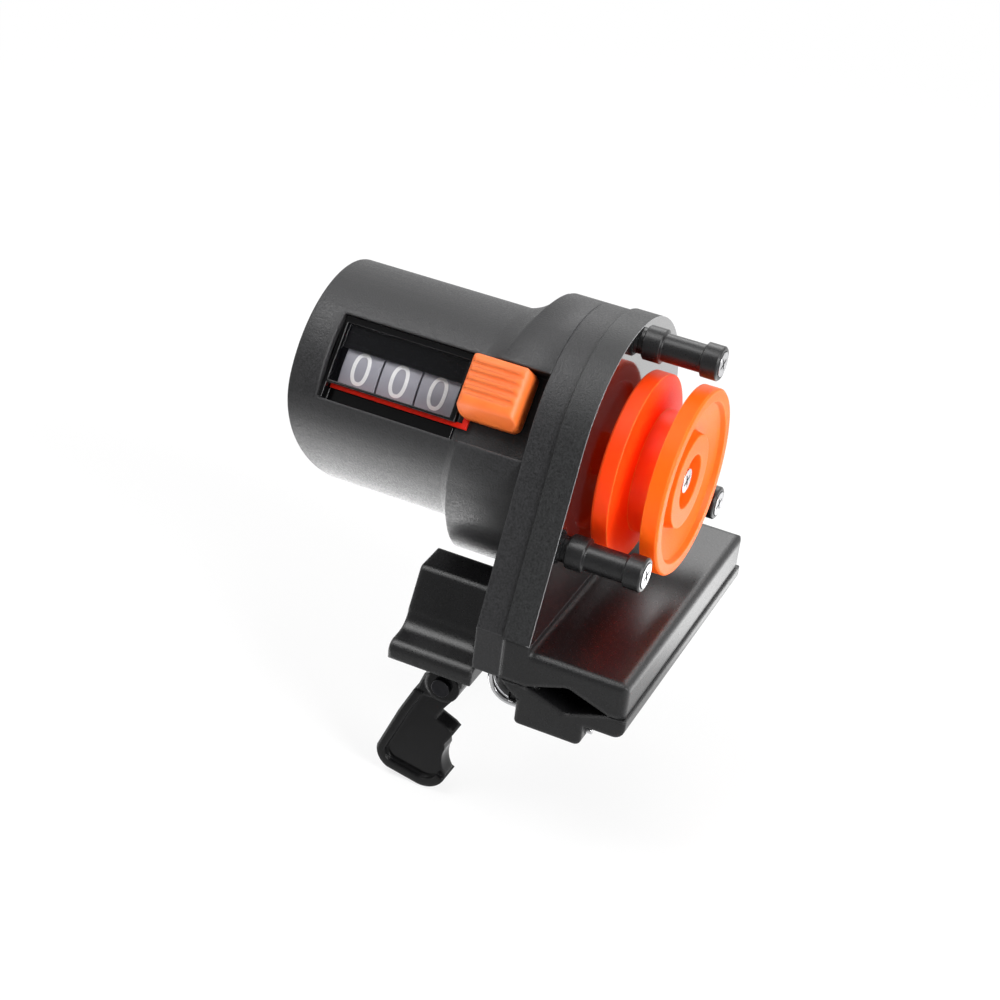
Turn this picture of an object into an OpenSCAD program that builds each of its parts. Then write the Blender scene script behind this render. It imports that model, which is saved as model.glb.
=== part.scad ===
// Fishing line counter: it clamps on a rod, the line turns the wheel and the drums count.
// Frame: origin on the rod's axis at the middle of the clamp, +Y along the rod,
// +Z up to the wheel, +X from the counter pod to the line wheel. Sizes in millimetres.

/* [Wheel] */
// Radius of the two flanges
wheel_r = 20; // [17:0.1:21]
// Radius of the bottom of the line groove
groove_r = 13.1; // [11:0.1:14.5]
// Width over both flanges
wheel_w = 14.5; // [12:0.1:16]
// Width of each rim
rim_t = 3.7; // [2.5:0.1:4.2]
// Width of the groove's bottom
groove_w = 4; // [2.5:0.1:5]
// Radius of the raised hub ring
hub_ring_r = 10; // [8:0.1:12]
// Radius of the screw's recess in the hub
hub_recess_r = 5.9; // [4:0.1:6.5]
// Radius of the wheel shaft
axle_r = 2; // [1.6:0.05:2.4]
// Distance from the cover to the wheel's flange
wheel_gap = 2.7; // [2.4:0.1:4]
// Height of the wheel's axis above the rod
axle_z = 35.4; // [34:0.1:38]
// Distance of the wheel's axis behind the middle of the clamp
axle_y = 3; // [0:0.1:5]

/* [Case] */
// Distance of the cover's face from the rod's axis
cover_x = -9; // [-11:0.1:-8.5]
// Thickness of the front cover
cover_t = 6; // [5.6:0.1:7]
// Thickness of the gear case
case_t = 6; // [5.8:0.1:7]
// Radius of the case's round top
case_r = 28.3; // [27.5:0.1:31]
// Distance of the round top's centre behind the wheel's axis
case_back = 4.9; // [3:0.1:6]
// Wall of the gear case
case_wall = 2.2; // [1.8:0.1:2.8]
// How far the cover stands proud of the case
cover_proud = 0.6; // [0.2:0.1:1]

/* [Pod] */
// Length of the pod from the seam
pod_len = 54.2; // [54:0.1:60]
// Radius of the pod
pod_r = 23.5; // [23.2:0.1:24.5]
// Wall of the pod
pod_wall = 2; // [1.6:0.1:2.2]
// Distance of the pod's axis behind the wheel's axis
pod_back = 1.75; // [1:0.05:2.2]
// Distance of the pod's axis above the wheel's axis
pod_up = 0.36; // [0.2:0.02:1]
// Radius of the rounded closed end
pod_round = 52; // [44:0.5:60]
// Thickness of the flange
flange_t = 10.4; // [9.5:0.1:11.5]
// Radius of the flare between pod and flange
flare_r = 12; // [9:0.5:13]
// Lean of the flange's back
flare_tilt = 9.7; // [6:0.1:12]
// Tilt of the window
window_tilt = 51.5; // [45:0.5:58]
// Width of the window
window_w = 30.5; // [28:0.1:32]
// Height of the window
window_h = 18; // [17.6:0.1:18.4]
// Distance from the seam to the window
window_off = 16.8; // [16:0.1:18]

/* [Counter] */
// Radius of the number drums
drum_r = 17.6; // [17:0.05:17.7]
// Width of a drum
drum_w = 8.35; // [7.8:0.05:8.5]
// Distance from drum to drum
drum_pitch = 8.85; // [8.8:0.05:9]
// Radius of the counter shaft
counter_r = 1.5; // [1.2:0.05:1.7]
// Width of the reset button
button_w = 13; // [12:0.1:14.4]
// Height of the reset button's top above the axis
button_top = 25.4; // [23.5:0.1:26.5]

/* [Gears] */
// Tooth module
gear_m = 0.5; // [0.48:0.01:0.5]
// Face width of the big gears
gear_face = 1.8; // [1.4:0.1:1.9]
// Play between teeth
gear_play = 0.14; // [0.1:0.01:0.2]

/* [Posts] */
// Radius of the circle the posts stand on
post_ring_r = 25.85; // [25.4:0.05:26.4]
// Radius of a post's head
post_r = 3.64; // [3.2:0.02:4]
// Radius of a post's neck
post_neck_r = 2.95; // [2.6:0.05:3.1]

/* [Clamp] */
// Length of the clamp along the rod
clamp_len = 68; // [66:0.5:74]
// Right side of the clamp block
block_right = 12.5; // [11.5:0.1:15]
// Height of the clamp block
block_h = 8; // [6.5:0.1:8.5]
// Height of the case's foot
foot_h = 10; // [9.5:0.1:10.5]
// Radius of the rod in the closed jaws
rod_r = 3.2; // [2.8:0.05:3.4]
// Half width of the V between the jaws
vee_w = 9; // [7.5:0.1:9.2]
// Thickness of the lower jaw
jaw_t = 4.6; // [4.2:0.1:5.2]
// Depth of the jaw's lug
lug_h = 9.6; // [8.8:0.1:11]
// Radius of the hinge pin
hinge_r = 1.5; // [1.2:0.05:1.6]
// Radius of the spring's wire
wire_r = 0.65; // [0.5:0.05:0.66]

/* [Lever] */
// Left side of the lever bracket
bracket_left = -40; // [-42:0.1:-39]
// Top of the bracket
bracket_top = 11; // [10.5:0.1:11.2]
// Thickness of the bracket's walls
bracket_wall = 1.6; // [1.2:0.1:1.9]
// Width of the lever
lever_w = 11; // [9:0.1:11.2]
// Radius of the lever pin
lever_pin_r = 1.5; // [1.2:0.05:1.7]
// Rise of the lever's cam for each radian
cam_rise = 3; // [2.4:0.1:3.1]

/* [Hidden] */
$fn = 48;
e = 0.02;
case_x = cover_x - cover_t;
seam_x = case_x - case_t;
case_y = axle_y + case_back;
case_z = axle_z - 0.4;
pod_x = seam_x - pod_len;
half = clamp_len / 2;
part_gap = 0.15;
window_x = seam_x - window_off;
unit_x = window_x - 6.6;
wheel_x = cover_x + wheel_gap;
face_x = wheel_x + wheel_w;
hinge_x = -12.9;
hinge_z = -2.1;
coil_r = 5;
lever_x = -28.3;
lever_z = -9.5;
lever_y = -half + 3;
tail_y0 = -half + 11.4;
tail_y1 = -half + 15.8;
tail_z = -3;
post_angles = [78.64, 200.71, -36.99];
first_at = [axle_y + 25 * gear_m * cos(40), axle_z + 25 * gear_m * sin(40)];
second_at = [axle_y + 35 * gear_m * cos(-17.12), axle_z + 35 * gear_m * sin(-17.12)];
carry_d = 9.8;
case_screw_at = [[25.5, 51.4], [-24.5, 14.6], [30, 15.6]];
base_screw_at = [[seam_x + 1.9, -4, 5.3], [seam_x + 1.9, 25, 5.3], [seam_x - 1.1, -18, 6.6]];

module along_x(x0, x1) translate([x0, 0, 0]) rotate([90, 0, 90]) linear_extrude(height = x1 - x0) children();
module along_y(y0, y1) translate([0, y1, 0]) rotate([90, 0, 0]) linear_extrude(height = y1 - y0) children();
module rod_x(x0, x1, r, y, z) translate([x0, y, z]) rotate([0, 90, 0]) cylinder(h = x1 - x0, r = r);
module rod_y(y0, y1, r, x, z) translate([x, y0, z]) rotate([-90, 0, 0]) cylinder(h = y1 - y0, r = r);
module box(x0, x1, y0, y1, z0, z1) translate([x0, y0, z0]) cube([x1 - x0, y1 - y0, z1 - z0]);
module turned() translate([0, axle_y, axle_z]) rotate([0, 90, 0]) rotate_extrude($fn = 96) children();
module at_window() translate([0, axle_y, axle_z]) rotate([window_tilt, 0, 0]) children();

function arc(c, r, a0, a1, n) = [for (i = [0:n])
    c + r * [cos(a0 + (a1 - a0) * i / n), sin(a0 + (a1 - a0) * i / n)]];

// Touching point of the line from p to the case's round top
function touch(p, r, side) =
  let (c = [case_y, case_z], d = norm(p - c), a = atan2(p[1] - c[1], p[0] - c[0]) + side * acos(r / d))
  c + r * [cos(a), sin(a)];
function foot_front(grow, foot) = [-half - grow, foot];
function foot_back(grow, foot) = [half + grow, foot];

// The case's drop shape: a round top with straight sides down to the foot
module drop(grow, foot) {
  f = foot_front(grow, foot);
  b = foot_back(grow, foot);
  translate([case_y, case_z]) circle(r = case_r + grow, $fn = 120);
  polygon([f, b, touch(b, case_r + grow - 0.01, 1), [case_y, case_z], touch(f, case_r + grow - 0.01, -1)]);
}

// Involute tooth outline; play thins each tooth
function inv(c) = tan(acos(c)) * 180 / PI - acos(c);
function gear_line(n, m, add, ded, play) =
  let (r = n * m / 2, rb = r * cos(25), r0 = r - ded, r1 = r + add, rs = max(rb, r0),
      half_a = 90 / n - play / r * 28.65)
  [for (k = [0:n - 1]) let (a = 360 * k / n) each concat(
    rs > r0 + 0.01 ? [r0 * [cos(a - half_a - inv(rb / r)), sin(a - half_a - inv(rb / r))]] : [],
    [for (i = [0:3]) let (q = rs + (r1 - rs) * i / 3, h = half_a + inv(rb / r) - inv(rb / q))
        q * [cos(a - h), sin(a - h)]],
    [for (i = [3:-1:0]) let (q = rs + (r1 - rs) * i / 3, h = half_a + inv(rb / r) - inv(rb / q))
        q * [cos(a + h), sin(a + h)]],
    rs > r0 + 0.01 ? [r0 * [cos(a + half_a + inv(rb / r)), sin(a + half_a + inv(rb / r))]] : [])];

// A gear on an axis along X: turn sets where a tooth points
module gear_x(x0, x1, n, at, turn)
  along_x(x0, x1) translate(at) rotate(turn)
      polygon(gear_line(n, gear_m, 0.8 * gear_m, 1.05 * gear_m, gear_play));

// Pan head screw along X with its head towards +X, seat of the head at x
module screw_x(x, y, z, r, head_r, head_t, len) {
  difference() {
    union() {
      rod_x(x, x + head_t, head_r, y, z);
      rod_x(x - len, x + e, r, y, z);
    }
    for (a = [20, 110])
      translate([x + head_t - 0.9, y, z]) rotate([a, 0, 0]) translate([0, -head_r * 0.62, -0.3])
          cube([2, head_r * 1.24, 0.6]);
  }
}

// Corner that the pod's end loses below; off moves it inwards
module pod_trim(off) {
  c = [pod_x + pod_round, axle_z + 8];
  r = pod_round - off;
  k = r * cos(45);
  difference() {
    polygon([c, c + [-r - 4, 0], c + [-r - 4, -r], c + [-k - 3, -k - 3]]);
    translate(c) circle(r = r, $fn = 96);
  }
  polygon([c + [-k, -k], c + [-k - 3, -k - 3], c + [-r - 4, -r], c + [-r - 4, -60], c + [10, -60],
      c + [10, -2 * k - 10]]);
}

module rear_housing() {
  foot = bracket_top + 0.3;
  flange_x = seam_x - flange_t;
  py = axle_y + pod_back;
  pz = axle_z + pod_up;
  curve = [for (i = [0:10]) let (t = 0.15 + 0.085 * i) [pod_r - 1.8 + flare_r * (1 - sqrt(1 - t * t)),
      flare_r * (t - 1)]];
  color([0.12, 0.12, 0.13]) difference() {
    union() {
      difference() {
        rod_x(pod_x, flange_x + 6, pod_r, py, pz);
        along_y(-60, 60) pod_trim(0);
      }
      intersection() {
        translate([flange_x - 1, py, pz]) rotate([0, flare_tilt, 0]) rotate([0, 90, 0])
          rotate_extrude($fn = 96) polygon(concat([[0, curve[0][1]]], curve,
              [[pod_r + 14.4, 14], [pod_r + 15.6, 20], [0, 20]]));
        along_x(flange_x - 30, seam_x) intersection() {
          union() {
            translate([case_y, case_z]) circle(r = case_r, $fn = 120);
            translate([case_y - 0.5, case_z - 3]) circle(r = case_r - 0.7, $fn = 120);
            intersection() {
              drop(0, foot);
              translate([case_y, foot]) square(60);
            }
          }
          translate([-60, foot]) square(120);
        }
      }
    }
    difference() {
      rod_x(pod_x + pod_wall, window_x - 0.8, pod_r - pod_wall, py, pz);
      along_y(-60, 60) pod_trim(pod_wall - 0.6);
      rod_x(pod_x, pod_x + 8.2, 3.4, axle_y, axle_z);
    }
    rod_x(pod_x + 1.6, pod_x + 9, counter_r + e, axle_y, axle_z);
    rod_x(window_x - 2, seam_x + 1, 5, axle_y, axle_z);
    at_window() box(window_x - window_w, seam_x + 1, -window_h / 2, window_h / 2, 17.1, 40);
    for (p = case_screw_at)
      if (p[0] > 0) {
        rod_x(flange_x - 40, screw_seat(p), 2.7, p[0], p[1]);
        rod_x(seam_x - 4, seam_x + 1, 1.35, p[0], p[1]);
      }
  }
}

module gear_case() color([0.12, 0.12, 0.13]) difference() {
  union() {
    difference() {
      along_x(seam_x, case_x) union() {
        drop(0, foot_h);
        translate([-half, part_gap]) square([clamp_len, foot_h]);
      }
      along_x(seam_x + 1.4, case_x + 1) intersection() {
        drop(-case_wall, foot_h + case_wall);
        translate([-half, foot_h + case_wall]) square([clamp_len, 100]);
      }
    }
    for (p = case_screw_at)
      rod_x(seam_x + 1, case_x, p[0] > 0 ? 2.9 : 3.7, p[0], p[1]);
  }
  rod_x(seam_x - 1, seam_x + 2, 3.05, axle_y, axle_z);
  rod_x(seam_x + 0.3, seam_x + 2, 1 + e, second_at[0], second_at[1]);
  for (p = case_screw_at) {
    rod_x(seam_x - 1, case_x + 1, 1.35, p[0], p[1]);
    if (p[0] < 0)
      rod_x(seam_x - 1, screw_seat(p), 2.7, p[0], p[1]);
  }
  for (p = base_screw_at) {
    rod_x(seam_x - 1, case_x + 1, 1.35, p[1], p[2]);
    if (p[0] > seam_x)
      rod_x(seam_x - 1, p[0], 2.5, p[1], p[2]);
  }
  box(seam_x - 1, case_x + 1, tail_y0 - 0.6, tail_y1 + 0.6, -1, 1.9);
  hinge_room();
}

// Room for the jaw's knuckles, its spring and the spring's upper leg
module hinge_room() {
  rod_y(-half + 1.8, -half + 16.15, hinge_r + 2.35, hinge_x, hinge_z);
  rod_y(-8.85, 8.85, hinge_r + 2.35, hinge_x, hinge_z);
  rod_y(20.15, 30.3, hinge_r + 2.35, hinge_x, hinge_z);
  rod_y(-half + 1.8, -half + 5.8, coil_r + wire_r + 0.45, hinge_x, hinge_z);
  box(hinge_x - coil_r - 1.1, hinge_x - coil_r + 1.8, -half + 3.9, -half + 6.1, -1, 4);
}

module front_cover() color([0.12, 0.12, 0.13]) difference() {
  union() {
    difference() {
      along_x(case_x, cover_x) intersection() {
        drop(cover_proud, foot_h);
        translate([-half - 5, foot_h]) square([clamp_len + 10, 100]);
      }
      along_x(case_x - 1, cover_x - 2.6) intersection() {
        drop(-case_wall, foot_h + case_wall);
        translate([-half, foot_h + case_wall]) square([clamp_len, 100]);
      }
    }
    for (p = case_screw_at)
      rod_x(case_x, cover_x - 2, 2.9, p[0], p[1]);
    for (a = post_angles)
      rod_x(case_x + 0.7, cover_x - 2, 2.9, axle_y + post_ring_r * cos(a), axle_z + post_ring_r * sin(a));
  }
  rod_x(case_x - 1, cover_x + 1, 2 * axle_r + e, axle_y, axle_z);
  rod_x(case_x, cover_x - 0.8, 1 + e, first_at[0], first_at[1]);
  rod_x(case_x, cover_x - 0.8, 1 + e, second_at[0], second_at[1]);
  for (p = case_screw_at)
    rod_x(case_x - 1, cover_x - 1.2, 1.22, p[0], p[1]);
  for (a = post_angles)
    rod_x(case_x, cover_x + 1, 1.27, axle_y + post_ring_r * cos(a), axle_z + post_ring_r * sin(a));
}

// Void between the jaws, open at the parting plane
module vee(up) mirror([0, up ? 0 : 1]) {
  polygon([[-vee_w, 0.16], [-vee_w, -1], [vee_w, -1], [vee_w, 0.16], rod_r * [cos(60), sin(60)],
      rod_r * [cos(120), sin(120)]]);
  circle(r = rod_r, $fn = 64);
}

module clamp_block() color([0.1, 0.1, 0.11]) difference() {
  union() {
    intersection() {
      along_y(-half, half) difference() {
        polygon(concat([[case_x, part_gap], [block_right, part_gap]],
            arc([block_right - 1.8, block_h - 1.8], 1.8, 0, 90, 8),
          [[cover_x, block_h], [cover_x, foot_h], [case_x, foot_h]]));
        vee(true);
      }
      union() {
        along_x(-40, cover_x) polygon(concat([[-half, -9], [half, -9]],
            arc([half - 0.6, foot_h - 0.6], 0.6, 0, 90, 5),
          arc([-half + 0.6, foot_h - 0.6], 0.6, 90, 180, 5)));
        along_x(cover_x - e, 40) polygon(concat([[-half, -9], [half, -9]],
            arc([half - 1.6, block_h - 1.6], 1.6, 0, 90, 8),
          arc([-half + 1.6, block_h - 1.6], 1.6, 90, 180, 8)));
      }
      translate([0, 0, -20]) linear_extrude(height = 60) polygon(concat([[-40, half], [-40, -half]],
        arc([block_right - 1.6, -half + 1.6], 1.6, -90, 0, 8),
            arc([block_right - 1.6, half - 1.6], 1.6, 0, 90, 8)));
    }
    for (y = [[-half + 16.3, -9], [9, 20]])
      intersection() {
        rod_y(y[0], y[1], hinge_r + 1.9, hinge_x, hinge_z);
        union() {
          box(-40, 40, -40, 40, -20, part_gap - e);
          box(case_x, 40, -40, 40, -20, 20);
        }
      }
  }
  hinge_room();
  rod_y(-half + 10, 31, hinge_r + e, hinge_x, hinge_z);
  for (p = base_screw_at)
    rod_x(case_x - 1, case_x + 6, 1.22, p[1], p[2]);
}

module lever_bracket() color([0.11, 0.11, 0.12]) difference() {
  leg_x = -25.3;
  join_x = -23.8;
  skin = concat([[-half + 21, bracket_top]], arc([-20.3, bracket_top - 1.5], 1.5, 90, 158, 6),
      arc([-29.6, 3.2], 4, -8, -88, 10),
    arc([-31.7, -3.2], 2.3, 80, 180, 8), [[-half, -4.9], [-half + 21, -4.9]]);
  union() {
    along_x(bracket_left, join_x) polygon(skin);
    along_x(join_x - e, seam_x) intersection() {
      polygon(skin);
      union() {
        translate([-half, 0.2]) square([40, 40]);
        translate([-half, -10]) square([7, 20]);
      }
    }
    along_y(-half + 2.5, -half + 19) polygon([[leg_x, -8.2], [join_x, -8.2], [join_x, -1], [leg_x, -1]]);
    along_y(lever_y + lever_w + 0.3, -half + 17) union() {
      translate([lever_x, lever_z]) circle(r = 3);
      translate([lever_x, lever_z]) square([join_x - lever_x - e, 4]);
    }
  }
  along_x(bracket_left + bracket_wall, leg_x)
      polygon(concat([[-half + 21 - bracket_wall, -9], [-half + 21 - bracket_wall, bracket_top - 1.5]],
    [[-20.4, bracket_top - 1.5]], arc([-29.6, 3.2], 5.7, -4, -80, 8),
        [[-half + 1.9, -3.4], [-half + 1.9, -9]]));
  box(leg_x - 1, seam_x + 1, tail_y0 - 0.6, tail_y1 + 0.6, -4.2, 3.2);
  rod_y(lever_y, 0, lever_pin_r + e, lever_x, lever_z);
  rod_y(lever_y - 0.5, lever_y + lever_w + 0.2, 4.3, lever_x, lever_z);
  rod_y(tail_y0 - 1.15, lever_y + lever_w + 0.25, 7.4, lever_x, lever_z);
  p = base_screw_at[2];
  rod_x(leg_x - 1, p[0], 2.5, p[1], p[2]);
  rod_x(leg_x, seam_x + 1, 1.35, p[1], p[2]);
}

module window_bezel() color([0.05, 0.05, 0.05]) at_window() {
  x0 = window_x - window_w + 0.1;
  difference() {
    box(x0, window_x - 0.3, -5.5, window_h / 2 - 0.08, 18.5, 20.1);
    box(x0 + 0.9, window_x - 1.5, -4.9, 7.5, 18, 21);
  }
  box(x0, window_x - 1, 2.6, 8, 18.1, 18.55);
  box(x0, x0 + 0.9, -window_h / 2 + 0.08, -5.4, 16.8, 20.1);
  box(x0, window_x - 1, -window_h / 2 + 0.08, -6, 16.8, 17.2);
}

module window_lens() color([0.8, 0.9, 0.95, 0.4]) at_window()
  box(window_x - window_w + 1.04, window_x - 1.54, -4.86, 7.46, 18.6, 19.7);

module guide_posts() color([0.1, 0.1, 0.1]) for (a = post_angles)
  translate([0, axle_y + post_ring_r * cos(a), axle_z + post_ring_r * sin(a)]) difference() {
    rotate([0, 90, 0]) rotate_extrude() polygon([[1.3, cover_x], [2.8, cover_x], [2.8, cover_x + 1],
        [post_r - 0.3, cover_x + 1],
      [post_r, cover_x + 1.3], [post_r, cover_x + 4.8], [post_neck_r, cover_x + 5.1],
          [post_neck_r, cover_x + 13.4],
      [post_r, cover_x + 13.8], [post_r, cover_x + 17.1], [post_r - 0.3, cover_x + 17.4],
          [2.75, cover_x + 17.4],
      [2.75, cover_x + 15.6], [1.3, cover_x + 15.6]]);
  }

module post_screws() color([0.75, 0.75, 0.77]) for (a = post_angles)
  screw_x(cover_x + 15.6, axle_y + post_ring_r * cos(a), axle_z + post_ring_r * sin(a), 1.25, 2.6, 2, 20.2);

// Seat of a case screw's head: the front one is sunk in the gear case, the others in the housing
function screw_seat(p) = seam_x + (p[0] > 0 ? -3.2 : 2);

module case_screws() color([0.75, 0.75, 0.77]) for (p = case_screw_at)
  translate([screw_seat(p), p[0], p[1]]) mirror([1, 0, 0])
      screw_x(0, 0, 0, 1.2, 2.5, 1.7, 8.8 + seam_x - screw_seat(p));

module base_screws() color([0.75, 0.75, 0.77]) for (p = base_screw_at)
  translate(p) mirror([1, 0, 0]) screw_x(0, 0, 0, 1.2, 2.4, 1.6, 8.8);

module wheel_bush() color([0.78, 0.62, 0.3]) turned()
  polygon([[axle_r + 0.04, cover_x - 2.8], [2 * axle_r, cover_x - 2.8], [2 * axle_r, cover_x], [5.4, cover_x],
    [5.4, cover_x + 1.1], [axle_r + 0.04, cover_x + 1.1]]);

module first_arbor() color([0.7, 0.7, 0.72])
  rod_x(case_x - 2, cover_x - 0.9, 1, first_at[0], first_at[1]);

module second_arbor() color([0.7, 0.7, 0.72])
  rod_x(seam_x + 0.4, cover_x - 0.9, 1, second_at[0], second_at[1]);

module counter_shaft() color([0.7, 0.7, 0.72])
  rod_x(pod_x + 1.7, seam_x + 3.2, counter_r, axle_y, axle_z);

// Left end of drum number i, counted from the units
function drum_x(i) = unit_x - drum_pitch * i - drum_w / 2;

module transfer_plates() color([0.75, 0.75, 0.72]) for (i = [1, 2])
  along_x(drum_x(i) + 6.2, drum_x(i) + 7.6) translate([axle_y, axle_z]) difference() {
    circle(r = 12.4, $fn = 64);
    circle(r = counter_r + e);
    translate([carry_d, 0]) circle(r = 2.06);
    translate([carry_d, -2.06]) square([10, 4.12]);
  }

module hinge_pin() color([0.75, 0.75, 0.77])
  rod_y(-half + 2.4, 30, hinge_r, hinge_x, hinge_z);

module lever_pin() color([0.6, 0.6, 0.62]) {
  rod_y(lever_y - 0.2, -half + 17, lever_pin_r, lever_x, lever_z);
  rod_y(lever_y - 1, lever_y - 0.2, lever_pin_r + 0.5, lever_x, lever_z);
}

module line_wheel() {
  mid = (wheel_x + face_x) / 2;
  color([0.9, 0.25, 0.1]) turned() polygon([[axle_r + e, wheel_x - 1.3], [4.6, wheel_x - 1.3],
      [4.6, wheel_x + 1.2],
    [wheel_r - 4.8, wheel_x + 1.2], [wheel_r - 4, wheel_x], [wheel_r - 0.4, wheel_x],
        [wheel_r, wheel_x + 0.4],
    [wheel_r, wheel_x + rim_t], [groove_r, mid - groove_w / 2], [groove_r, mid + groove_w / 2],
        [wheel_r, face_x - rim_t],
    [wheel_r, face_x - 0.4], [wheel_r - 0.4, face_x], [wheel_r - 2.6, face_x], [wheel_r - 3.2, face_x - 1.1],
    [hub_ring_r + 0.5, face_x - 3.1], [hub_ring_r, face_x - 0.9], [hub_recess_r, face_x - 0.9],
        [hub_recess_r - 0.4, face_x - 3.2],
    [1.3, face_x - 3.2], [1.3, face_x - 5], [axle_r + e, face_x - 5]]);
}

module wheel_shaft() color([0.7, 0.7, 0.72]) difference() {
  union() {
    rod_x(case_x + 2.6, face_x - 5.05, axle_r, axle_y, axle_z);
    rod_x(case_x + 0.2, case_x + 2.7, 1, axle_y, axle_z);
  }
  rod_x(face_x - 12, face_x, 1.22, axle_y, axle_z);
}

module wheel_screw() color([0.75, 0.75, 0.77])
  screw_x(face_x - 3.18, axle_y, axle_z, 1.2, 2.6, 1.6, 8);

module drive_pinion() color([0.85, 0.85, 0.8]) difference() {
  gear_x(case_x + 0.6, case_x + 2.5, 10, [axle_y, axle_z], 40);
  rod_x(case_x, case_x + 4, 1 + e, axle_y, axle_z);
}

// Two gears on one arbor: big one at bx, small one at sx
module compound(at, n, bx, big_turn, sx0, sx1, small_turn) difference() {
  union() {
    gear_x(bx, bx + gear_face, n, at, big_turn);
    gear_x(sx0, sx1, 10, at, small_turn);
  }
  rod_x(seam_x, cover_x, 1.04, at[0], at[1]);
}

module first_gear() color([0.85, 0.85, 0.8]) {
  d = second_at - first_at;
  compound(first_at, 40, case_x + 0.65, 220 + 4.5, case_x - 1.8, case_x + 0.7, atan2(d[1], d[0]));
}

module second_gear() color([0.85, 0.85, 0.8]) {
  d = first_at - second_at;
  compound(second_at, 50, case_x - 1.65, atan2(d[1], d[0]) + 3.6, seam_x + 1.6, case_x - 1.6, 180 - 17.12);
}

module counter_gear() color([0.85, 0.85, 0.8]) difference() {
  union() {
    gear_x(seam_x + 1.7, seam_x + 1.7 + gear_face, 60, [axle_y, axle_z], -17.12 + 3);
    rod_x(unit_x - 2.5, seam_x + 2, 3, axle_y, axle_z);
  }
  rod_x(unit_x - 4, seam_x + 5, counter_r + 0.04, axle_y, axle_z);
}

// Number drum i: hub bore, inner ring of teeth for the carry, carry dog
module drum(i, bore, ring, dog) {
  x = drum_x(i);
  color([0.85, 0.85, 0.9]) difference() {
    union() {
      turned() polygon([[bore, x], [bore + 1.3, x], [bore + 1.3, x + 2.4], [drum_r - 1.2, x + 2.4],
          [drum_r - 1.2, x], [drum_r, x],
        [drum_r, x + drum_w], [drum_r - 1.2, x + drum_w], [drum_r - 1.2, x + 3.6], [bore + 1.3, x + 3.6],
        [bore + 1.3, x + (ring ? 6 : drum_w)], [bore, x + (ring ? 6 : drum_w)]]);
      if (ring)
        along_x(x + 3.5, x + 5.6) translate([axle_y, axle_z]) difference() {
          circle(r = drum_r - 1.1, $fn = 96);
          polygon(gear_line(20, 1.4, 1.3, 0.6, -0.3));
        }
      if (dog)
        box(x + 0.1, x + 2.5, axle_y - drum_r + 0.6, axle_y - 13.6, axle_z - 0.9, axle_z + 0.9);
    }
  }
}
module units_drum() drum(0, 3 + e, false, true);
module tens_drum() drum(1, counter_r + 0.04, true, true);
module hundreds_drum() drum(2, counter_r + 0.04, true, false);

// Carry pinion between drum i and the one before it
module carry(i) {
  x = drum_x(i);
  at = [axle_y + carry_d, axle_z];
  color([0.75, 0.72, 0.6]) {
    along_x(x + 3.8, x + 5.9) translate(at) polygon(gear_line(6, 1.4, 0.6, 1.0, 0.3));
    along_x(x + 7.9, x + 10.9) translate(at) polygon(gear_line(6, 1.4, 0.6, 1.0, 0.3));
    rod_x(x + 5.8, x + 8, 2, at[0], at[1]);
  }
}
module tens_pinion() carry(1);
module hundreds_pinion() carry(2);

module reset_button() color([0.9, 0.4, 0.15]) at_window() {
  x1 = window_x + 0.4 + button_w;
  x0 = window_x + 0.4;
  difference() {
    intersection() {
      along_x(x0, x1) polygon(concat([[-4.1, 18.2], [8.8, 18.2]], arc([7.2, button_top - 1.6], 1.6, 0, 90, 6),
        arc([-0.6, button_top - 2], 2, 90, 140, 4), arc([-2.3, 20.4], 1.8, 140, 180, 4)));
      along_y(-20, 20) polygon(concat([[x0, 18], [x1, 18]], arc([x1 - 2.4, button_top - 2.4], 2.4, 0, 90, 8),
        arc([x0 + 1.5, button_top - 1.5], 1.5, 90, 180, 6)));
      linear_extrude(height = 40) polygon(concat(arc([x0 + 1.4, -2.7], 1.4, 180, 270, 6),
          arc([x1 - 1.8, -2.3], 1.8, 270, 360, 6),
        arc([x1 - 1.8, 7], 1.8, 0, 90, 6), arc([x0 + 1.4, 7.4], 1.4, 90, 180, 6)));
    }
    for (k = [0:3])
      rod_x(x0 - 1, x1 + 1, 0.55, 0.7 + k * 1.9, button_top + 0.1);
  }
}

module reset_bar() color([0.85, 0.1, 0.08]) at_window() {
  box(window_x - window_w + 1.3, window_x + 2, -6.2, -5.1, 17.5, 18.2);
  box(window_x + 0.8, window_x + 2, -6.2, -3, 17.5, 18.2);
  box(window_x + 0.8, window_x + button_w - 2, -3.8, 4, 17.5, 18.2);
}

// Thin web of the lever in its own plane, pivot at 0,0
module lever_web() difference() {
  polygon(concat([[-3.2, 1], [-5.8, -3.6], [-8.7, -9.9]], arc([-8.9, -21.4], 4.3, 170, 245, 6),
      arc([-2.6, -21.5], 5.3, 262, 338, 7),
    [[1.4, -15.4], [3.3, -11.9], [2.2, -11], [-1.2, -9.5], [0.5, -6.2], [2.6, -3]]));
  translate([7.9, -19.3]) circle(r = 6.8);
}

// Rim along the lever's outer side and end
module lever_rim() polygon(concat([[-6.3, -3.2], [-9.3, -9.7]], arc([-8.9, -21.4], 4.7, 170, 245, 6),
    arc([-2.6, -21.5], 5.7, 262, 332, 7),
  arc([-2.6, -21.5], 3.8, 332, 262, 7), arc([-8.9, -21.4], 2.8, 245, 170, 6), [[-7.3, -10.2], [-4.2, -3.5]]));

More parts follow.
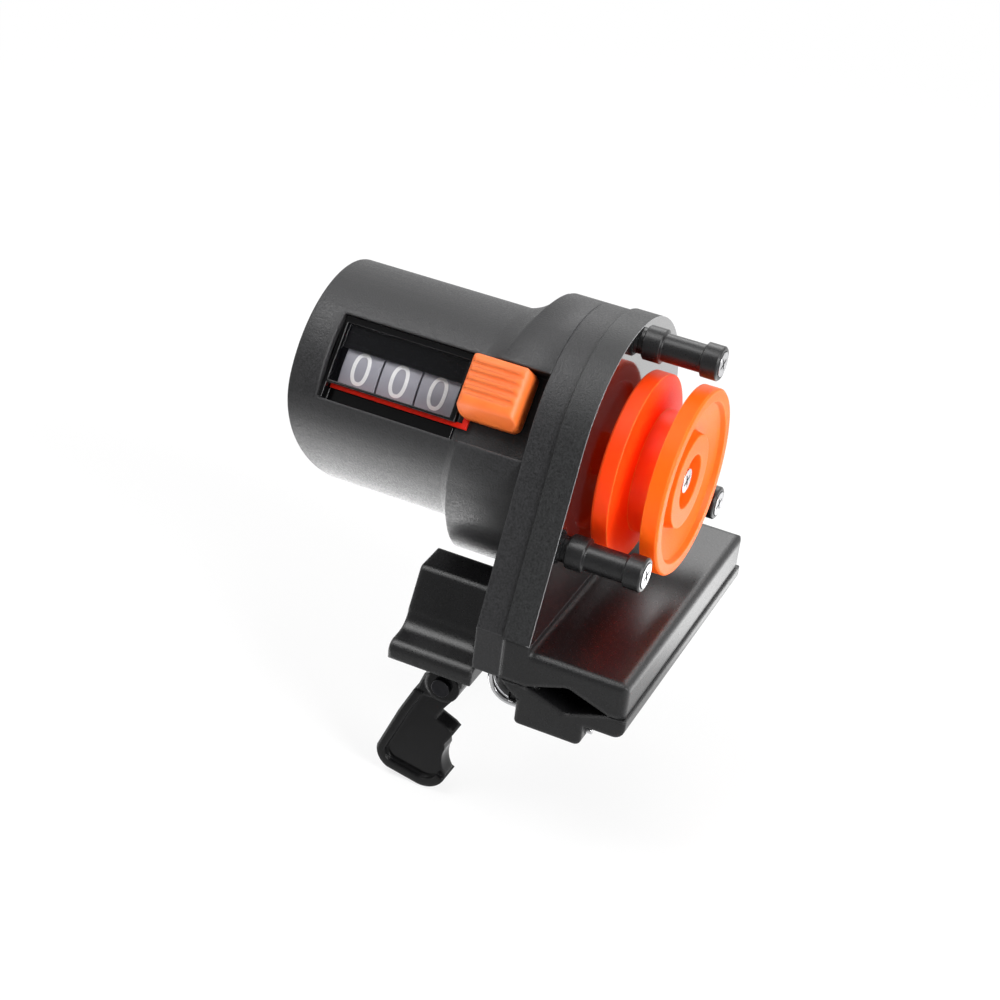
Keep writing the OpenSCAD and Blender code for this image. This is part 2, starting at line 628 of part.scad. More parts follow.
module cam_lever() {
  lever_top = tail_z - lever_z - part_gap;
  cam = [for (i = [0:10]) let (a = 78 + 7.2 * i, h = lever_top + cam_rise * max(0, a - 90) * PI / 180,
      k = a < 90 ? 0 : cam_rise)
    h * [cos(a), sin(a)] + k * [-sin(a), cos(a)]];
  y0 = lever_y;
  y1 = lever_y + lever_w;
  color([0.07, 0.07, 0.07]) translate([lever_x, 0, lever_z]) difference() {
    union() {
      along_y(y0 + 1.1, y0 + 5) lever_web();
      along_y(y0, y0 + 6) lever_rim();
      along_y(y0 - e, y1) circle(r = 3.9);
      along_y(y0 + 0.4, y0 + 6.4) polygon([[-4.4, 1.4], [-6.1, -3.6], [-5.4, -4.4], [2, -3.6], [3.5, -1],
          [-1, 3.6]]);
      along_y(y0 + 7.6, y1) polygon(concat([[-1.5, -2]], [[2.6, 0]], cam));
    }
    rod_y(y0 - 1, y1 + 1, lever_pin_r + 0.04, 0, 0);
  }
}

module lower_jaw() color([0.1, 0.1, 0.11]) difference() {
  wall = -half + 1.9;
  knuckles = [[wall + 0.2, -half + 16], [-8.7, 8.7], [20.3, 30]];
  plate = concat([[hinge_x, -part_gap], [block_right + 0.5, -part_gap]],
      arc([block_right - 2, -jaw_t + 2.5], 2.5, 0, -90, 6),
    [[7, -jaw_t], [4.5, -6.2], [-4.5, -6.2], [-7, -5.5], [hinge_x, -5.5]]);
  union() {
    difference() {
      along_y(wall - e, half) polygon(plate);
      rod_y(wall, -half + 5.8, coil_r + wire_r + 0.45, hinge_x, hinge_z);
      for (y = [[-half + 16.15, -8.85], [8.85, 20.15], [30.15, half + 1]])
        rod_y(y[0], y[1], hinge_r + 2.3, hinge_x, hinge_z);
    }
    along_y(-half, wall) polygon(concat([[hinge_x - 1.8, -part_gap], [block_right + 0.5, -part_gap]],
      arc([block_right - 2, -jaw_t + 2.5], 2.5, 0, -90, 6),
          [[4.5, -jaw_t], [-10.4, -jaw_t], [-10.4, -3.6], [hinge_x + 0.3, -2.3]]));
    along_y(-half, -half + 5) difference() {
      polygon(concat(arc([-10.6 + 1, -lug_h + 1], 1, 180, 270, 4),
          arc([4.2 - 1.5, -lug_h + 1.5], 1.5, 270, 360, 5), [[4.2, -4], [-10.6, -3.6]]));
      translate([hinge_x, hinge_z]) circle(r = hinge_r + 0.1);
    }
    for (y = knuckles)
      rod_y(y[0], y[1], hinge_r + 1.7, hinge_x, hinge_z);
    box(-34.6, hinge_x, tail_y0, tail_y1, tail_z, -0.6);
  }
  along_y(-60, 60) vee(false);
  difference() {
    rod_y(wall, -half + 5.8, coil_r + wire_r + 0.45, hinge_x, hinge_z);
    rod_y(wall - 1, -half + 7, hinge_r + 1.7, hinge_x, hinge_z);
  }
  rod_y(wall - 0.2, 40, hinge_r + 0.04, hinge_x, hinge_z);
  rod_x(hinge_x, 10, wire_r + 0.15, -half + 2.8, hinge_z - coil_r);
}

// Spring wire: lower leg through the lug, curls round the hinge, upper leg into the foot
module jaw_spring() {
  turns = 1.25;
  pitch = 1.8;
  n = 20;
  y0 = -half + 2.8;
  c = [hinge_x, hinge_z];
  path = concat([[5.5, y0, c[1] - coil_r], [-4, y0, c[1] - coil_r]],
    [for (i = [0:n]) let (a = 270 - 360 * turns * i / n) [c[0] + coil_r * cos(a), y0 + pitch * turns * i / n,
        c[1] + coil_r * sin(a)]],
    [[c[0] - coil_r, y0 + pitch * turns, 2.2]]);
  m = len(path);
  sides = 8;
  function way(i) = let (d = path[min(i + 1, m - 1)] - path[max(i - 1, 0)]) d / norm(d);
  pts = [for (i = [0:m - 1]) let (t = way(i), u = [t[2], 0, -t[0]] / norm([t[2], 0, -t[0]]), v = cross(t, u))
    for (k = [0:sides - 1]) path[i] + wire_r * (u * cos(360 * k / sides) + v * sin(360 * k / sides))];
  faces = concat([[for (k = [0:sides - 1]) k]],
    [for (i = [0:m - 2]) for (k = [0:sides - 1]) let (q = (k + 1) % sides)
      each [[i * sides + k, (i + 1) * sides + q, i * sides + q],
          [i * sides + k, (i + 1) * sides + k, (i + 1) * sides + q]]],
    [[for (k = [sides - 1:-1:0]) (m - 1) * sides + k]]);
  near = min([for (i = [2:n - 14]) for (j = [i + 12:n + 2]) norm(path[i] - path[j])]);
  echo(spring_gap = near - 2 * wire_r);
  color([0.8, 0.8, 0.82]) polyhedron(pts, faces);
}

rear_housing();
gear_case();
front_cover();
clamp_block();
lever_bracket();
window_bezel();
window_lens();
guide_posts();
post_screws();
case_screws();
base_screws();
wheel_bush();
first_arbor();
second_arbor();
counter_shaft();
transfer_plates();
hinge_pin();
lever_pin();
line_wheel();
wheel_shaft();
wheel_screw();
drive_pinion();
first_gear();
second_gear();
counter_gear();
units_drum();
tens_drum();
hundreds_drum();
tens_pinion();
hundreds_pinion();
reset_button();
reset_bar();
cam_lever();
lower_jaw();
jaw_spring();
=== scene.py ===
# Fishing line counter: finishes, counter figures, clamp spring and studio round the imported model
import math
import bpy
import numpy as np
from mathutils import Matrix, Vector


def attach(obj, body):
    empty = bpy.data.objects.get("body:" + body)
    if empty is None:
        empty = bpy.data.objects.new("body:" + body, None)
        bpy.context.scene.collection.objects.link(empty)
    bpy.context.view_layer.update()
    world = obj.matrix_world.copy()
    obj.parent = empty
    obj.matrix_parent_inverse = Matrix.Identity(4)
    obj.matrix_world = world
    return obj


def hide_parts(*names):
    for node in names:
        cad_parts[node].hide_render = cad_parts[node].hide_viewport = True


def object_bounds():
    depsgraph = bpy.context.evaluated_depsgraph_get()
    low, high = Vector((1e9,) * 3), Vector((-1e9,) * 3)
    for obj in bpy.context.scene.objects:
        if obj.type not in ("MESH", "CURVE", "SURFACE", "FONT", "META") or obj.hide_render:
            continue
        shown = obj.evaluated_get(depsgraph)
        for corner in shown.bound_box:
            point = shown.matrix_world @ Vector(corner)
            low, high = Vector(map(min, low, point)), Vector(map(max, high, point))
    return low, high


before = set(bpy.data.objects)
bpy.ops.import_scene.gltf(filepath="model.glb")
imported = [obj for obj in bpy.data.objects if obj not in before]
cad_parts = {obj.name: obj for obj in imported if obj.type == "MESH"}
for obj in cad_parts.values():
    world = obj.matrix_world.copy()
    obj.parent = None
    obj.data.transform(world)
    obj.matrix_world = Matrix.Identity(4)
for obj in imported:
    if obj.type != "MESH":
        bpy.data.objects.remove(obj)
cadBox = [list(corner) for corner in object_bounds()]
mm = 0.001


def hexLinear(code, alpha=1.0):  # sRGB hex to linear light
    c = np.array([int(code[i:i + 2], 16) for i in (1, 3, 5)]) / 255
    lin = np.where(c <= 0.04045, c / 12.92, ((c + 0.055) / 1.055) ** 2.4)
    return (*lin.tolist(), alpha)


def addNode(tree, kind, settings=None, links=None):  # one node with its settings and the links into it
    node = tree.nodes.new(kind)
    for name, value in (settings or {}).items():
        if isinstance(name, str) and hasattr(node, name):
            setattr(node, name, value)
        else:
            node.inputs[name].default_value = value
    for name, (source, output) in (links or {}).items():
        tree.links.new(source.outputs[output], node.inputs[name])
    return node


noiseLow, noiseHigh = 0.3, 0.7  # nearly all of the noise lies between these
sharpEdge, flatFace = 0.8, 0.995  # agreement of rounded and true normal, at an edge and off it
lipWidth = 0.3  # mm over which the paler edge colour sets in along X; only a lip uses it, as for the painted highlight on the cover
polishStart, polishFull = 0.9, 0.97  # X of the normal where the polished side begins
polishBump = 0.03


def finishOf(name, look):  # a moulded, turned or plated surface: mottle, grain, edge rounding, paler edges that are partly edge wear and partly a painted edge highlight, and an optional painted highlight that lightens the colour along X
    material = bpy.data.materials.new(name)
    material.use_nodes = True
    tree = material.node_tree
    shader = tree.nodes["Principled BSDF"]
    place = addNode(tree, "ShaderNodeTexCoord")
    turned = addNode(tree, "ShaderNodeMapping", {"Scale": look.get("stretch", (1, 1, 1))},
                     {"Vector": (place, "Object")})
    mottle = addNode(tree, "ShaderNodeTexNoise",
                     {"Scale": 1 / (look["mottle"] * mm), "Detail": 3.0, "Roughness": 0.55},
                     {"Vector": (turned, "Vector")})
    grain = addNode(tree, "ShaderNodeTexNoise",
                    {"Scale": 1 / (look["grain"] * mm), "Detail": 2.0, "Roughness": 0.6},
                    {"Vector": (turned, "Vector")})
    tint = addNode(tree, "ShaderNodeValToRGB", None, {"Fac": (grain if "speckled" in look else mottle, "Fac")})
    for stop, position, colour in zip(tint.color_ramp.elements, (noiseLow, noiseHigh), look["colour"]):
        stop.position = position
        stop.color = hexLinear(colour)
    rounded = addNode(tree, "ShaderNodeBevel", {"samples": 4, "Radius": look.get("edge", 0.3) * mm})
    flat = addNode(tree, "ShaderNodeNewGeometry")
    match = addNode(tree, "ShaderNodeVectorMath", {"operation": "DOT_PRODUCT"},
                    {0: (rounded, "Normal"), 1: (flat, "Normal")})
    axes = addNode(tree, "ShaderNodeSeparateXYZ", None, {"Vector": (place, "Object")})
    lipX = look.get("lip", -500)  # without a lip every edge gets the paler colour of wear and painted highlight
    lip = addNode(tree, "ShaderNodeMapRange",
                  {"From Min": (lipX - lipWidth) * mm, "From Max": lipX * mm, "To Max": look.get("wearHighlight", 0.0)},
                  {"Value": (axes, "X")})
    # edges are painted paler: partly edge wear, partly a painted highlight
    wearHighlight = addNode(tree, "ShaderNodeMapRange", {"From Min": flatFace, "From Max": sharpEdge, "To Min": 0.0},
                   {"Value": (match, "Value"), "To Max": (lip, "Result")})
    begin, end, paintedLightColour = look.get("paintedLightRamp", (500, 600, "#000000"))  # a painted highlight that turns the colour lighter along X; without one the ramp lies far off the object
    along = addNode(tree, "ShaderNodeMapRange", {"From Min": begin * mm, "From Max": end * mm},
                    {"Value": (axes, "X")})
    paintedLightMixed = addNode(tree, "ShaderNodeMix", {"data_type": "RGBA", 7: hexLinear(paintedLightColour)},
                    {0: (along, "Result"), 6: (tint, "Color")})
    wearHighlightColour = hexLinear(look.get("wearHighlightColour", look["colour"][1]))
    wearHighlightMixed = addNode(tree, "ShaderNodeMix", {"data_type": "RGBA", 7: wearHighlightColour},
                     {0: (wearHighlight, "Result"), 6: (paintedLightMixed, 2)})
    smooth, coarse = look["rough"]
    gloss = addNode(tree, "ShaderNodeMapRange",
                    {"From Min": noiseLow, "From Max": noiseHigh, "To Min": smooth, "To Max": coarse},
                    {"Value": (grain, "Fac")})
    bump = addNode(tree, "ShaderNodeBump",
                   {"Strength": look.get("bump", 0.1), "Distance": look.get("depth", 0.03) * mm},
                   {"Height": (grain, "Fac"), "Normal": (rounded, "Normal")})
    if "polished" in look:  # the side that faces +X comes from a polished part of the tool
        facing = addNode(tree, "ShaderNodeSeparateXYZ", None, {"Vector": (place, "Normal")})
        shine = addNode(tree, "ShaderNodeMapRange", {"From Min": polishStart, "From Max": polishFull},
                        {"Value": (facing, "X")})
        gloss = addNode(tree, "ShaderNodeMapRange", {"To Max": look["polished"]},
                        {"Value": (shine, "Result"), "To Min": (gloss, "Result")})
        calm = addNode(tree, "ShaderNodeMapRange", {"To Min": look["bump"], "To Max": polishBump},
                       {"Value": (shine, "Result")})
        tree.links.new(calm.outputs["Result"], bump.inputs["Strength"])
        tree.links.new(shine.outputs["Result"], shader.inputs["Coat Weight"])
    tree.links.new(wearHighlightMixed.outputs[2], shader.inputs["Base Color"])
    tree.links.new(gloss.outputs["Result"], shader.inputs["Roughness"])
    tree.links.new(bump.outputs["Normal"], shader.inputs["Normal"])
    for socket, value in look.get("sockets", {}).items():
        shader.inputs[socket].default_value = value
    return material


# ABS moulded in a spark eroded tool: dark, even, with a fine sandy grain that spreads every highlight
# the real grit is about 0.1 mm and is drawn at 0.4 mm so that it shows
texturedAbs = finishOf("Textured black ABS", {
    "colour": ("#131314", "#2b2b2d"), "speckled": True, "rough": (0.36, 0.62),
    "mottle": 9, "grain": 0.4, "bump": 1.0, "depth": 0.075,
    "edge": 0.6, "wearHighlight": 0.5, "wearHighlightColour": "#505052", "sockets": {"IOR": 1.53}})
# the same plastic on the cover, whose outer face is polished and mirrors the wheel; the bright line along its
# rim is a painted highlight, a pale grey edge colour held to the face edge by the lip
coverAbs = finishOf("Black ABS with a polished face", {
    "colour": ("#131314", "#292a2b"), "speckled": True, "rough": (0.36, 0.6),
    "mottle": 9, "grain": 0.4, "bump": 0.9, "depth": 0.08,
    # painted highlight: a pale grey line painted along the cover's face edge
    "edge": 0.3, "wearHighlight": 1.0, "wearHighlightColour": "#b4b4b6", "lip": -9.6, "polished": 0.09,
    "sockets": {"IOR": 1.53, "Coat IOR": 2.1, "Coat Roughness": 0.08}})
# the same plastic from a smoother tool: satin, long soft reflections
satinAbs = finishOf("Satin black ABS", {
    "colour": ("#111112", "#161617"), "rough": (0.26, 0.34),
    "mottle": 12, "grain": 0.4, "bump": 0.08, "depth": 0.03,
    "edge": 1.3, "wearHighlight": 0.35, "wearHighlightColour": "#3a3a3b", "sockets": {"IOR": 1.53}})
# the same plastic, polished, round the window
bezelAbs = finishOf("Gloss black ABS", {
    "colour": ("#070708", "#0a0a0b"), "rough": (0.1, 0.18),
    "mottle": 8, "grain": 0.5, "bump": 0.05, "depth": 0.02,
    "edge": 0.18, "wearHighlight": 0.8, "wearHighlightColour": "#8c8c8e", "sockets": {"IOR": 1.5, "Specular IOR Level": 0.3}})
# glass filled nylon from a polished tool: nearly black, sharp highlights
glossNylon = finishOf("Gloss black nylon", {
    "colour": ("#0b0b0c", "#101011"), "rough": (0.12, 0.2),
    "mottle": 8, "grain": 0.6, "bump": 0.08, "depth": 0.03,
    "edge": 1.0, "wearHighlight": 0.25, "wearHighlightColour": "#2c2c2d", "sockets": {"IOR": 1.53, "Specular IOR Level": 0.22}})
# nylon of the guide posts, satin where the line runs
satinNylon = finishOf("Satin black nylon", {
    "colour": ("#161617", "#1c1c1d"), "rough": (0.26, 0.38),
    "mottle": 6, "grain": 0.3, "bump": 0.2, "depth": 0.03,
    "edge": 0.35, "wearHighlight": 0.4, "wearHighlightColour": "#4c4c4d", "sockets": {"IOR": 1.53}})
# coloured ABS: light goes a few millimetres in, so the groove glows red under a broad satin highlight; a faint
# red emission paints part of that glow
wheelAbs = finishOf("Orange red ABS", {
    "colour": ("#f53f08", "#f8470c"), "rough": (0.38, 0.5),
    "mottle": 10, "grain": 0.35, "bump": 0.12, "depth": 0.03,
    # painted highlight: the outer flange, from X 1 to 4.5 mm, is painted a lighter orange
    "paintedLightRamp": (1.0, 4.5, "#f8650c"), "edge": 0.5, "wearHighlight": 0.5, "wearHighlightColour": "#ff9a48",
    "sockets": {"IOR": 1.53, "Specular IOR Level": 0.18,
                "Subsurface Weight": 0.4, "Subsurface Radius": (1.0, 0.3, 0.08), "Subsurface Scale": 0.004,
                # painted glow: a faint red emission stands in for light scattered inside the plastic
                "Emission Color": hexLinear("#ff3606"), "Emission Strength": 0.12}})
# coloured ABS of the button, satin, its ribs paler along the edges from wear and a painted highlight
buttonAbs = finishOf("Orange ABS", {
    "colour": ("#f7722f", "#fa7e3a"), "rough": (0.34, 0.46),
    "mottle": 6, "grain": 0.3, "bump": 0.2, "depth": 0.03,
    "edge": 0.9, "wearHighlight": 0.35, "wearHighlightColour": "#ffa878", "sockets": {"IOR": 1.53, "Specular IOR Level": 0.35}})
# coloured ABS of the bar behind the window
barAbs = finishOf("Red ABS", {
    "colour": ("#dd1a08", "#ea240d"), "rough": (0.3, 0.4), "mottle": 6, "grain": 0.3, "bump": 0.1,
    "edge": 0.2, "sockets": {"IOR": 1.53, "Specular IOR Level": 0.3}})
# drums moulded in grey polystyrene
drumStyrene = finishOf("Grey polystyrene", {
    "colour": ("#a09fa9", "#aaa9b3"), "rough": (0.3, 0.42), "mottle": 8, "grain": 0.3, "bump": 0.1,
    "edge": 0.2, "wearHighlight": 0.4, "wearHighlightColour": "#c8c7d0", "sockets": {"IOR": 1.59}})
# matt ink printed on the drums
figureInk = finishOf("White printing ink", {
    "colour": ("#f6f6f8", "#fdfdfd"), "rough": (0.4, 0.5), "mottle": 2, "grain": 0.2, "bump": 0.1,
    "edge": 0.05, "sockets": {"IOR": 1.5}})
# natural acetal: milky white gears
gearAcetal = finishOf("Natural acetal", {
    "colour": ("#d6d3c8", "#dedbd1"), "rough": (0.3, 0.4), "mottle": 6, "grain": 0.3, "bump": 0.08,
    "edge": 0.12, "wearHighlight": 0.3, "wearHighlightColour": "#efede6", "sockets": {"IOR": 1.48}})
# zinc plated steel, faintly streaked by the turning
platedSteel = finishOf("Zinc plated steel", {
    "colour": ("#b9b9bb", "#cfcfd1"), "rough": (0.16, 0.3), "mottle": 1.5, "grain": 0.25,
    "stretch": (0.3, 1, 1), "bump": 0.1,
    "edge": 0.12, "wearHighlight": 0.4, "wearHighlightColour": "#f0f0f0", "sockets": {"Metallic": 1.0}})
# pins blackened in a hot oxide bath
blackSteel = finishOf("Black oxide steel", {
    "colour": ("#2a2a2c", "#343437"), "rough": (0.28, 0.4), "mottle": 2, "grain": 0.2, "bump": 0.1,
    "edge": 0.15, "wearHighlight": 0.5, "wearHighlightColour": "#77777a", "sockets": {"Metallic": 1.0}})
# shafts and arbors, ground and left bare
groundSteel = finishOf("Ground steel", {
    "colour": ("#a9aaad", "#bcbdc0"), "rough": (0.22, 0.36), "mottle": 2, "grain": 0.2,
    "stretch": (1, 0.25, 1), "bump": 0.1,
    "edge": 0.12, "wearHighlight": 0.3, "wearHighlightColour": "#e4e4e6", "sockets": {"Metallic": 1.0}})
# brass bush, streaked round by the turning
turnedBrass = finishOf("Turned brass", {
    "colour": ("#a98a48", "#bd9b55"), "rough": (0.22, 0.34), "mottle": 3, "grain": 0.2,
    "stretch": (0.3, 1, 1), "bump": 0.1,
    "edge": 0.12, "wearHighlight": 0.3, "wearHighlightColour": "#e2c684", "sockets": {"Metallic": 1.0}})
# chrome plated spring wire
chromeWire = finishOf("Bright chrome wire", {
    "colour": ("#e2e2e4", "#ececee"), "rough": (0.18, 0.28), "mottle": 4, "grain": 0.4, "bump": 0.04,
    "edge": 0.1, "sockets": {"Metallic": 1.0}})
# clear polished acrylic: nearly all of the light goes through, the rest is a sharp reflection
clearAcrylic = finishOf("Clear acrylic", {
    "colour": ("#24252a", "#2c2d33"), "rough": (0.02, 0.05), "mottle": 10, "grain": 2, "bump": 0.02,
    "edge": 0.2, "sockets": {"IOR": 1.49, "Alpha": 0.07}})

nodeFinish = {
    texturedAbs: ["rear_housing", "gear_case"],
    satinAbs: ["clamp_block", "lower_jaw", "lever_bracket"],
    coverAbs: ["front_cover"],
    bezelAbs: ["window_bezel"],
    glossNylon: ["cam_lever"],
    satinNylon: ["guide_posts"],
    wheelAbs: ["line_wheel"],
    buttonAbs: ["reset_button"],
    barAbs: ["reset_bar"],
    drumStyrene: ["units_drum", "tens_drum", "hundreds_drum"],
    gearAcetal: ["drive_pinion", "first_gear", "second_gear", "counter_gear", "tens_pinion", "hundreds_pinion"],
    platedSteel: ["post_screws", "case_screws", "base_screws", "wheel_screw", "transfer_plates"],
    groundSteel: ["wheel_shaft", "first_arbor", "second_arbor", "counter_shaft", "hinge_pin"],
    blackSteel: ["lever_pin"],
    turnedBrass: ["wheel_bush"],
    clearAcrylic: ["window_lens"],
}
for material, names in nodeFinish.items():
    for name in names:
        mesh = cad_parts[name].data
        mesh.materials.clear()
        mesh.materials.append(material)
print("finishes on", sum(len(names) for names in nodeFinish.values()), "nodes")

# Edges of five moulded nodes are rounded off: widths and weld in mm, angles in radians
edgeRounding = {
    "width": {"rear_housing": 0.3, "lever_bracket": 0.3, "lower_jaw": 0.3, "window_bezel": 0.12,
              "reset_button": 0.12},
    "weld": 0.002, "flat": 0.01, "corner": 1.0, "segments": 3,
}
for name, width in edgeRounding["width"].items():
    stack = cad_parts[name].modifiers
    joined = stack.new("joined", "WELD")
    joined.merge_threshold = edgeRounding["weld"] * mm
    flat = stack.new("flat", "DECIMATE")
    flat.decimate_type = "DISSOLVE"
    flat.angle_limit = edgeRounding["flat"]
    rounding = stack.new("rounding", "BEVEL")
    rounding.width = width * mm
    rounding.segments = edgeRounding["segments"]
    rounding.limit_method = "ANGLE"
    rounding.angle_limit = edgeRounding["corner"]
    rounding.use_clamp_overlap = False
    rounding.harden_normals = True
    rounding.miter_outer = "MITER_ARC"
print("rounded edges on", len(edgeRounding["width"]), "nodes")


def gridPiece(rings, closed=False):
    # rings: (along, around, 3) in mm; each ring is closed, ends are capped unless the path closes on itself
    along, around = rings.shape[:2]
    index = np.arange(along * around).reshape(along, around)
    nextAlong = np.roll(index, -1, 0)
    nextAround = np.roll(index, -1, 1)
    both = np.roll(nextAlong, -1, 1)
    quads = np.stack([index, nextAround, both, nextAlong], -1)
    if closed:
        return rings.reshape(-1, 3), quads.reshape(-1, 4).tolist()
    caps = [index[0, ::-1].tolist(), index[-1].tolist()]
    return rings.reshape(-1, 3), quads[:-1].reshape(-1, 4).tolist() + caps


def pieceFrom(name, parts, material, body, smooth=False):  # joins grids into one object on a body
    points = np.concatenate([p for p, f in parts]) * mm
    starts = np.cumsum([0] + [len(p) for p, f in parts])
    faces = [[v + int(start) for v in face] for start, (p, f) in zip(starts, parts) for face in f]
    mesh = bpy.data.meshes.new(name)
    mesh.from_pydata(points.tolist(), [], faces)
    mesh.polygons.foreach_set("use_smooth", np.full(len(faces), smooth))
    mesh.materials.append(material)
    mesh.update()
    piece = bpy.data.objects.new(name, mesh)
    bpy.context.scene.collection.objects.link(piece)
    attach(piece, body)
    return piece


# Counter figures: a flat ribbon carried along each figure's stroke and wrapped round the drum
# mm and degrees; strokes are drawn in a box one wide and one high, and 0 is a ring of its own
figures = {
    "axle": (3.0, 35.4), "radius": 17.6, "lift": 0.05, "sunk": 0.08,
    "height": 6.2, "width": 3.2, "stroke": 0.8, "angle": 144.0, "step": 36,
    "middle": {"units": -44.4, "tens": -53.25, "hundreds": -62.1}, "points": 64, "soften": 3,
    "zeroPower": (0.8, 0.9),
    "strokes": {
        1: [[(-0.3, 0.26), (0.08, 0.5), (0.08, -0.5)]],
        2: [[(-0.45, 0.2), (-0.4, 0.42), (0, 0.5), (0.4, 0.42), (0.45, 0.2), (0.3, -0.05), (-0.45, -0.5),
             (0.48, -0.5)]],
        3: [[(-0.45, 0.35), (-0.2, 0.5), (0.25, 0.5), (0.45, 0.27), (0.2, 0.03), (-0.1, 0.02)],
            [(-0.1, 0.02), (0.25, 0.02), (0.48, -0.24), (0.25, -0.5), (-0.2, -0.5), (-0.48, -0.33)]],
        4: [[(0.2, -0.5), (0.2, 0.5), (-0.48, -0.2), (0.48, -0.2)]],
        5: [[(0.42, 0.5), (-0.38, 0.5), (-0.42, 0.05), (0, 0.14), (0.4, 0.02), (0.46, -0.22), (0.25, -0.5),
             (-0.2, -0.5), (-0.46, -0.36)]],
        6: [[(0.4, 0.38), (0.1, 0.5), (-0.25, 0.42), (-0.46, 0.05), (-0.44, -0.3), (-0.15, -0.5), (0.25, -0.48),
             (0.46, -0.2), (0.28, 0.06), (-0.1, 0.1), (-0.42, -0.1)]],
        7: [[(-0.46, 0.5), (0.46, 0.5), (0.1, 0), (-0.12, -0.5)]],
        8: [[(0.02, 0.04), (-0.36, 0.16), (-0.36, 0.42), (0, 0.5), (0.36, 0.42), (0.36, 0.16), (0, 0.03),
             (-0.44, -0.12), (-0.44, -0.4), (0, -0.5), (0.44, -0.4), (0.44, -0.12), (0, 0.04)]],
        9: [[(-0.4, -0.38), (-0.1, -0.5), (0.25, -0.42), (0.46, -0.05), (0.44, 0.3), (0.15, 0.5), (-0.25, 0.48),
             (-0.46, 0.2), (-0.28, -0.06), (0.1, -0.1), (0.42, 0.1)]],
    },
}


def smoothPath(corners, count):  # even steps along the corners, then a running mean that rounds them
    c = np.array(corners, float) * (figures["width"], figures["height"])
    reach = np.concatenate([[0], np.cumsum(np.linalg.norm(np.diff(c, axis=0), axis=1))])
    s = np.linspace(0, reach[-1], count)
    line = np.stack([np.interp(s, reach, c[:, k]) for k in (0, 1)], 1)
    pad = figures["soften"]
    window = 2 * pad + 1
    padded = np.concatenate([np.repeat(line[:1], pad, 0), line, np.repeat(line[-1:], pad, 0)])
    return np.stack([np.convolve(padded[:, k], np.ones(window) / window, "valid") for k in (0, 1)], 1)


def wrapped(line, closed, middle, turn):  # left and right of the line, on and under the drum's skin
    ahead = np.roll(line, -1, 0) - np.roll(line, 1, 0) if closed else np.gradient(line, axis=0)
    side = np.stack([-ahead[:, 1], ahead[:, 0]], 1) / np.linalg.norm(ahead, axis=1, keepdims=True)
    side = side * figures["stroke"] / 2
    flat = np.stack([line + side, line - side, line - side, line + side], 1)
    depths = np.array([figures["lift"]] * 2 + [-figures["sunk"]] * 2)
    r = np.broadcast_to(figures["radius"] + depths, flat.shape[:2])
    a = math.radians(figures["angle"] + turn) - flat[..., 1] / figures["radius"]
    y, z = figures["axle"]
    rings = np.stack([middle + flat[..., 0], y + r * np.cos(a), z + r * np.sin(a)], -1)
    return gridPiece(rings, closed)


def zeroSide(wave, power, size):  # one coordinate of the squarish ring
    return np.sign(wave) * np.abs(wave) ** power * size / 2


ringTurn = np.linspace(0, 2 * np.pi, figures["points"], endpoint=False)
zero = np.stack([zeroSide(np.cos(ringTurn), figures["zeroPower"][0], figures["width"]),
                 zeroSide(np.sin(ringTurn), figures["zeroPower"][1], figures["height"])], 1)
for body, middle in figures["middle"].items():
    parts = [wrapped(zero, True, middle, 0)]
    for figure, strokes in figures["strokes"].items():
        for stroke in strokes:
            path = smoothPath(stroke, figures["points"])
            parts.append(wrapped(path, False, middle, figures["step"] * figure))
    pieceFrom(body + "_figures", parts, figureInk, body)
print("figures on", len(figures["middle"]), "drums")

# Clamp spring: a round wire carried along one leg, one and a quarter turns of coil and the upper leg, in mm
spring = {
    "hinge": (-12.9, -2.1), "coil": 5.0, "wire": 0.65, "start": -31.2, "pitch": 1.8, "turns": 1.25,
    "legEnd": 5.5, "top": 2.2, "ease": 0.2, "steps": 120, "lowerSteps": 24, "upperSteps": 8, "sides": 20,
}
hingeX, hingeZ = spring["hinge"]
turn = np.linspace(0, spring["turns"], spring["steps"])
phase = np.radians(270) - 2 * np.pi * turn
coil = np.stack([hingeX + spring["coil"] * np.cos(phase), spring["start"] + spring["pitch"] * turn,
                 hingeZ + spring["coil"] * np.sin(phase)], 1)
lowerX = np.linspace(spring["legEnd"], hingeX + spring["ease"], spring["lowerSteps"])
lower = np.stack([lowerX, np.full_like(lowerX, spring["start"]), np.full_like(lowerX, coil[0, 2])], 1)
upperZ = np.linspace(coil[-1, 2] + spring["ease"], spring["top"], spring["upperSteps"])
upper = np.stack([np.full_like(upperZ, coil[-1, 0]), np.full_like(upperZ, coil[-1, 1]), upperZ], 1)
wirePath = np.concatenate([lower, coil, upper])
along = np.gradient(wirePath, axis=0)
along /= np.linalg.norm(along, axis=1, keepdims=True)
across = np.stack([along[:, 2], np.zeros(len(along)), -along[:, 0]], 1)
across /= np.linalg.norm(across, axis=1, keepdims=True)
third = np.cross(along, across)
around = np.linspace(0, 2 * np.pi, spring["sides"], endpoint=False)[None, :, None]
section = across[:, None] * np.cos(around) + third[:, None] * np.sin(around)
wireRings = wirePath[:, None] + spring["wire"] * section
wirePiece = pieceFrom("clamp_spring_wire", [gridPiece(wireRings)], chromeWire, "jaw", True)
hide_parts("jaw_spring")
print("spring wire:", len(wirePiece.data.polygons), "faces")

